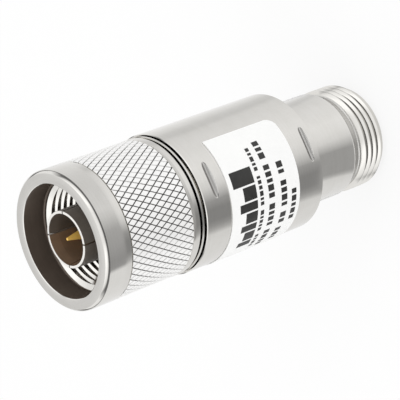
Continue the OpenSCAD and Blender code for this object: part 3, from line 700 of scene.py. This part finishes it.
# A range is (distance from, distance to, value at the first, value at the second), in metres from the axis
FAR_RANGE = (0.074, 0.079, 0.0, 1.0)
FADE_RANGE = (0.25, 0.40, 1.0, 0.15)
NEAR_REACH = 0.05
NEAR_TONES = [(0.21, 0.85), (0.25, 0.40), (0.57, 0.40), (0.63, 0.0)]
SPECK_SCALE = 90.0
SPECK_TONES = [(0.3, 0.945), (0.7, 0.965)]
WHITE_SHARE = 0.8
FLOOR_HALF, FLOOR_DROP = 4.0, 0.00002


def floor_material():
    material, tree, shader = blank("floor")
    tree.nodes.remove(shader)
    place = add(tree, "NewGeometry").outputs["Position"]
    split = add(tree, "SeparateXYZ", {0: place})
    angle = maths(tree, "ARCTAN2", split.outputs["Y"], split.outputs["X"])
    turn = maths(tree, "FRACT", maths(tree, "ADD", maths(tree, "DIVIDE", angle, 2 * math.pi), 1.0))
    tones = ramp(tree, turn, [(a / 360, v) for a, v in FLOOR_TONES])
    far_tones = ramp(tree, turn, [(a / 360, v) for a, v in FAR_TONES])
    flat = add(tree, "VectorMath", {0: place}, operation="LENGTH").outputs["Value"]
    fade = map_range(tree, flat, *FADE_RANGE)
    tones = mix_colours(tree, map_range(tree, flat, *FAR_RANGE), tones, far_tones)
    near = ramp(tree, maths(tree, "DIVIDE", flat, NEAR_REACH), NEAR_TONES)
    tones = mix_colours(tree, 1.0, tones, near, "LIGHTEN")
    pale = ramp(tree, noise(tree, place, SPECK_SCALE), SPECK_TONES)
    path = add(tree, "LightPath")
    seen = maths(tree, "MAXIMUM", path.outputs["Is Camera Ray"], path.outputs["Is Transmission Ray"])
    ground = add(tree, "BsdfDiffuse", {"Color": pale}).outputs[0]
    white = add(tree, "Emission", {"Color": (1, 1, 1, 1), "Strength": 1.0}).outputs[0]
    mirror = add(tree, "Emission", {"Color": tones, "Strength": fade}).outputs[0]
    whiteness = maths(tree, "MULTIPLY", seen, WHITE_SHARE)
    shown = add(tree, "MixShader", {0: whiteness, 1: ground, 2: white}).outputs[0]
    mixed = add(tree, "MixShader", {0: path.outputs["Is Glossy Ray"], 1: shown, 2: mirror}).outputs[0]
    tree.links.new(mixed, tree.nodes["Material Output"].inputs["Surface"])
    return material


floor_mesh = bpy.data.meshes.new("floor")
floor_corners = [
    (-FLOOR_HALF, -FLOOR_HALF, 0), (FLOOR_HALF, -FLOOR_HALF, 0),
    (FLOOR_HALF, FLOOR_HALF, 0), (-FLOOR_HALF, FLOOR_HALF, 0),
]
floor_mesh.from_pydata(floor_corners, [], [(0, 1, 2, 3)])
floor_mesh.materials.append(floor_material())
floor = bpy.data.objects.new("floor", floor_mesh)
floor.location.z = -FLOOR_DROP
scene.collection.objects.link(floor)


# World: even dome for light, white behind the object, and a soft gradient in reflections

# Tones by the height of a direction; a range is (from, to, value at the first, value at the second)
SKY_TONES = [
    (0.0, 0.35), (0.05, 0.10), (0.40, 0.12), (0.50, 0.62), (0.57, 0.77), (0.66, 0.84),
    (0.74, 1.0), (1.0, 1.0),
]
BACK_RANGE = (0.15, 0.50, 0.0, 0.72)
WING_RANGE = (0.30, 0.50, 1.0, 1.32)
DOME_TONE = 0.92

world = bpy.data.worlds.new("studio")
scene.world = world
world.use_nodes = True
tree = world.node_tree
direction = add(tree, "TexCoord").outputs["Generated"]
split = add(tree, "SeparateXYZ", {0: direction})
sky = ramp(tree, split.outputs["Z"], SKY_TONES)
sky = mix_colours(tree, 1.0, sky, map_range(tree, split.outputs["Y"], *BACK_RANGE), "LIGHTEN")
sideways = maths(tree, "ABSOLUTE", split.outputs["X"])
sky = mix_colours(tree, 1.0, sky, map_range(tree, sideways, *WING_RANGE), "MULTIPLY")
path = add(tree, "LightPath")
seen = maths(tree, "MAXIMUM", path.outputs["Is Camera Ray"], path.outputs["Is Transmission Ray"])
dome = mix_colours(tree, path.outputs["Is Glossy Ray"], (DOME_TONE, DOME_TONE, DOME_TONE, 1), sky)
behind = mix_colours(tree, seen, dome, (1, 1, 1, 1))
background = tree.nodes["Background"]
tree.links.new(behind, background.inputs["Color"])
background.inputs["Strength"].default_value = 1.0


# Soft lamps
LAMP_TARGET = (0.0, 0.0, 0.028)


def area_lamp(name, place, size, energy):
    """Round lamp that points at the object and shows in no reflection."""
    data = bpy.data.lights.new(name, "AREA")
    data.shape = "DISK"
    data.size = size
    data.energy = energy
    lamp = bpy.data.objects.new(name, data)
    lamp.location = place
    away = np.array(place) - np.array(LAMP_TARGET)
    tilt = math.atan2(math.hypot(away[0], away[1]), away[2])
    heading = math.atan2(away[1], away[0]) + math.pi / 2
    lamp.rotation_euler = (tilt, 0.0, heading)
    lamp.visible_glossy = False
    scene.collection.objects.link(lamp)


area_lamp("key_lamp", (0.25, -0.30, 0.55), 0.35, 0.55)
area_lamp("fill_lamp", (-0.45, -0.10, 0.35), 0.40, 0.25)

scene.view_settings.view_transform = "Standard"
